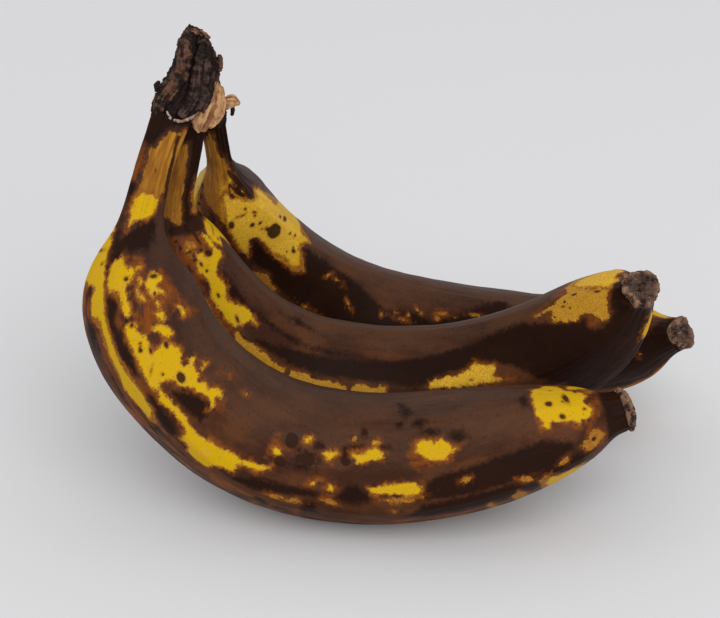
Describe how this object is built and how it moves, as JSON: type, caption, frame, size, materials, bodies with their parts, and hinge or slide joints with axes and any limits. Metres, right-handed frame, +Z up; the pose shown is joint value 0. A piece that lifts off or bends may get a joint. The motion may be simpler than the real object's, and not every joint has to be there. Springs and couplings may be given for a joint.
{
  "type": "hand of plantains",
  "caption": "Hand of plump curved overripe plantains joined at a dried crown and lying on their bellies, dark brown skins blotched with yellow.",
  "frame": {"origin": "centre of the bounding box in plan, at the flat spots that the outer fruits rest on", "axes": "+X from the crown's side to the blossom ends, +Y from the front fruit to the back fruit, +Z up"},
  "size_m": [0.2285, 0.1657, 0.1791],
  "materials": {
    "skin": "smooth, softly glossy overripe skin, brown to near black with yellow blotches",
    "crown": "dry, matt, wrinkled",
    "fibre": "dry torn fibre, matt",
    "tip": "dry crust, matt"
  },
  "bodies": {
    "root": {"plantain_front": "skin", "plantain_middle": "skin", "plantain_back": "skin", "crown": "crown", "torn_fibre": "fibre", "tip_front": "tip", "tip_middle": "tip", "tip_back": "tip"}
  },
  "joints": []
}
